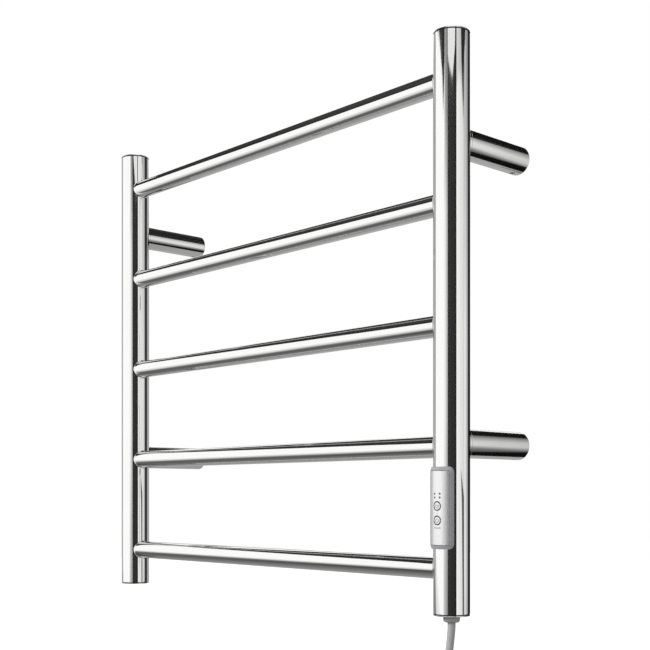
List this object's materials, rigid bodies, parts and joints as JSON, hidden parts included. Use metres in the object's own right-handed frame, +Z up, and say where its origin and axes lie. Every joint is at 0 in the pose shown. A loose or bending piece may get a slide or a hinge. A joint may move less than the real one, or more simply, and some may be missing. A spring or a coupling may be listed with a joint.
{
  "type": "towel warmer rack",
  "caption": "Wall-mounted electric towel warmer: a ladder of polished steel tubes on standoffs, with a push-button timer unit on one post and a mains cord.",
  "frame": {"origin": "on the wall plane, at the centre of the four standoffs", "axes": "+X right seen from the room, +Y into the wall, +Z up"},
  "size_m": [0.5228, 0.1113, 0.7548],
  "materials": {
    "bezel_plastic": "satin mid grey",
    "brass": "bright",
    "circuit_board": "green solder mask",
    "clear_plastic": "smoked clear",
    "dark_plastic": "black, moulded",
    "earth_wire": "green sheath",
    "flex_sheath": "light grey, satin",
    "gland_plastic": "light grey, moulded",
    "key_plastic": "metallic silver, low sheen",
    "polished_steel": "mirror polished stainless steel",
    "satin_steel": "fine satin, brushed round the bar",
    "seal_rubber": "black, matte",
    "silicone": "red-brown silicone",
    "silver_plate": "metallic silver, low sheen",
    "zinc_steel": "zinc plated"
  },
  "bodies": {
    "rack": {"cable_end_seal": "seal_rubber", "control_bezel": "bezel_plastic", "control_board": "circuit_board", "control_gasket": "seal_rubber", "control_module": "dark_plastic", "control_plate": "silver_plate", "cord": "flex_sheath", "cord_gland": "gland_plastic", "cord_hank": "flex_sheath", "cord_tie": "seal_rubber", "earth_lead": "earth_wire", "earth_tag": "brass", "gland_nut": "zinc_steel", "heating_cable": "silicone", "inner_flex": "flex_sheath", "left_bottom_cap": "polished_steel", "left_post": "polished_steel", "left_top_cap": "polished_steel", "light_guide": "clear_plastic", "lower_left_grub_screw": "zinc_steel", "lower_left_saddle": "satin_steel", "lower_left_standoff": "satin_steel", "lower_left_stud": "zinc_steel", "lower_left_wall_base": "zinc_steel", "lower_right_grub_screw": "zinc_steel", "lower_right_saddle": "satin_steel", "lower_right_standoff": "satin_steel", "lower_right_stud": "zinc_steel", "lower_right_wall_base": "zinc_steel", "plug_body": "gland_plastic", "plug_earth_pin": "brass", "plug_live_blade": "brass", "plug_neutral_blade": "brass", "power_switch": "dark_plastic", "right_bottom_cap": "polished_steel", "right_post": "polished_steel", "right_top_cap": "polished_steel", "rung_1": "polished_steel", "rung_2": "polished_steel", "rung_3": "polished_steel", "rung_4": "polished_steel", "rung_5": "polished_steel", "splice_sleeve": "silicone", "supply_lead": "silicone", "thermal_cutout": "zinc_steel", "timer_switch": "dark_plastic", "upper_left_grub_screw": "zinc_steel", "upper_left_saddle": "satin_steel", "upper_left_standoff": "satin_steel", "upper_left_stud": "zinc_steel", "upper_left_wall_base": "zinc_steel", "upper_right_grub_screw": "zinc_steel", "upper_right_saddle": "satin_steel", "upper_right_standoff": "satin_steel", "upper_right_stud": "zinc_steel", "upper_right_wall_base": "zinc_steel"},
    "timer_key": {"timer_button": "key_plastic"},
    "power_key": {"power_button": "key_plastic"}
  },
  "joints": [
    {"name": "timer_press", "type": "slide", "parent": "rack", "child": "timer_key", "axis": [0, 1, 0], "range_m": [0, 0.0005], "stiffness_N_per_m": 800, "springref_m": -0.0002},
    {"name": "power_press", "type": "slide", "parent": "rack", "child": "power_key", "axis": [0, 1, 0], "range_m": [0, 0.0005], "stiffness_N_per_m": 800, "springref_m": -0.0002}
  ]
}
